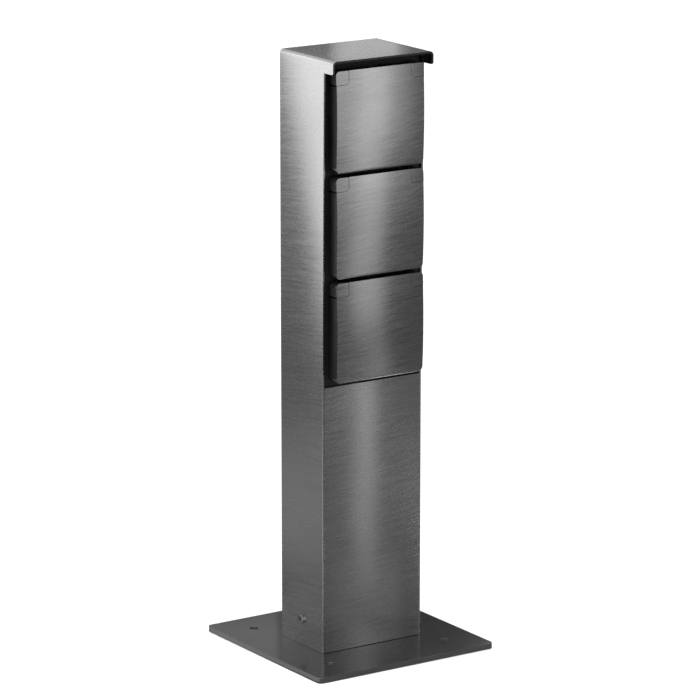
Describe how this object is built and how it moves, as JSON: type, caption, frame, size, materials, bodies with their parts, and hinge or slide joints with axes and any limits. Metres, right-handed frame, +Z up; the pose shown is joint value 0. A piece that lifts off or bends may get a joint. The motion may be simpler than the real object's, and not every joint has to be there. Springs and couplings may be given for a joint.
{
  "type": "garden socket post",
  "caption": "Square-section brushed steel garden power post on a base plate, with hinged spring lids over weatherproof sockets under a short canopy.",
  "frame": {"origin": "middle of the base plate's underside, on the ground", "axes": "+Z up the post, -Y out of the front with the lids, +X to the right seen from the front"},
  "size_m": [0.15, 0.15, 0.433],
  "materials": {
    "brushed_stainless": "fine brushed",
    "zinc_plated_steel": "satin plated",
    "black_plastic": "satin",
    "black_rubber": "matte",
    "brass": "machined",
    "pale_plastic": "satin",
    "brown_wire": "satin",
    "blue_wire": "satin",
    "green_wire": "satin"
  },
  "bodies": {
    "post": {"base_plate": "brushed_stainless", "outer_shell": "brushed_stainless", "front_panel": "brushed_stainless", "rear_panel": "brushed_stainless", "lug_caps_1": "brushed_stainless", "lug_caps_2": "brushed_stainless", "lug_caps_3": "brushed_stainless", "base_screws": "zinc_plated_steel", "foot_bracket": "zinc_plated_steel", "side_screws": "zinc_plated_steel", "rear_panel_screws": "zinc_plated_steel", "rear_rail_left": "zinc_plated_steel", "rear_rail_right": "zinc_plated_steel", "front_rail_left": "zinc_plated_steel", "front_rail_right": "zinc_plated_steel", "housing_screws": "zinc_plated_steel", "insert_screws": "zinc_plated_steel", "terminal_carrier": "zinc_plated_steel", "terminal_screws": "zinc_plated_steel", "block_screws": "zinc_plated_steel", "bond_lug": "zinc_plated_steel", "contact_screws": "zinc_plated_steel", "hinge_pin_1": "zinc_plated_steel", "hinge_pin_2": "zinc_plated_steel", "hinge_pin_3": "zinc_plated_steel", "lid_spring_1": "zinc_plated_steel", "lid_spring_2": "zinc_plated_steel", "lid_spring_3": "zinc_plated_steel", "earth_strap_1": "zinc_plated_steel", "earth_strap_2": "zinc_plated_steel", "earth_strap_3": "zinc_plated_steel", "socket_housing": "black_plastic", "socket_insert_1": "black_plastic", "socket_insert_2": "black_plastic", "socket_insert_3": "black_plastic", "cable_grommet": "black_rubber", "housing_gasket": "black_rubber", "terminal_inserts": "brass", "earth_stud": "brass", "earth_nuts": "brass", "contacts_1": "brass", "contacts_2": "brass", "contacts_3": "brass", "terminal_block": "pale_plastic", "live_wire": "brown_wire", "neutral_wire": "blue_wire", "earth_wire": "green_wire", "bond_wire": "green_wire"},
    "lid_1": {"lid_body_1": "black_plastic", "lid_facing_1": "brushed_stainless", "lid_seal_1": "black_rubber"},
    "lid_2": {"lid_body_2": "black_plastic", "lid_facing_2": "brushed_stainless", "lid_seal_2": "black_rubber"},
    "lid_3": {"lid_body_3": "black_plastic", "lid_facing_3": "brushed_stainless", "lid_seal_3": "black_rubber"}
  },
  "joints": [
    {"name": "lid_1_hinge", "type": "hinge", "parent": "post", "child": "lid_1", "pos_m": [0, -0.0345, 0.4225], "axis": [-1, 0, 0], "range_deg": [0, 95], "stiffness_Nm_per_rad": 0.03, "springref_deg": -28.65},
    {"name": "lid_2_hinge", "type": "hinge", "parent": "post", "child": "lid_2", "pos_m": [0, -0.0345, 0.3476], "axis": [-1, 0, 0], "range_deg": [0, 95], "stiffness_Nm_per_rad": 0.03, "springref_deg": -28.65},
    {"name": "lid_3_hinge", "type": "hinge", "parent": "post", "child": "lid_3", "pos_m": [0, -0.0345, 0.2727], "axis": [-1, 0, 0], "range_deg": [0, 95], "stiffness_Nm_per_rad": 0.03, "springref_deg": -28.65}
  ]
}
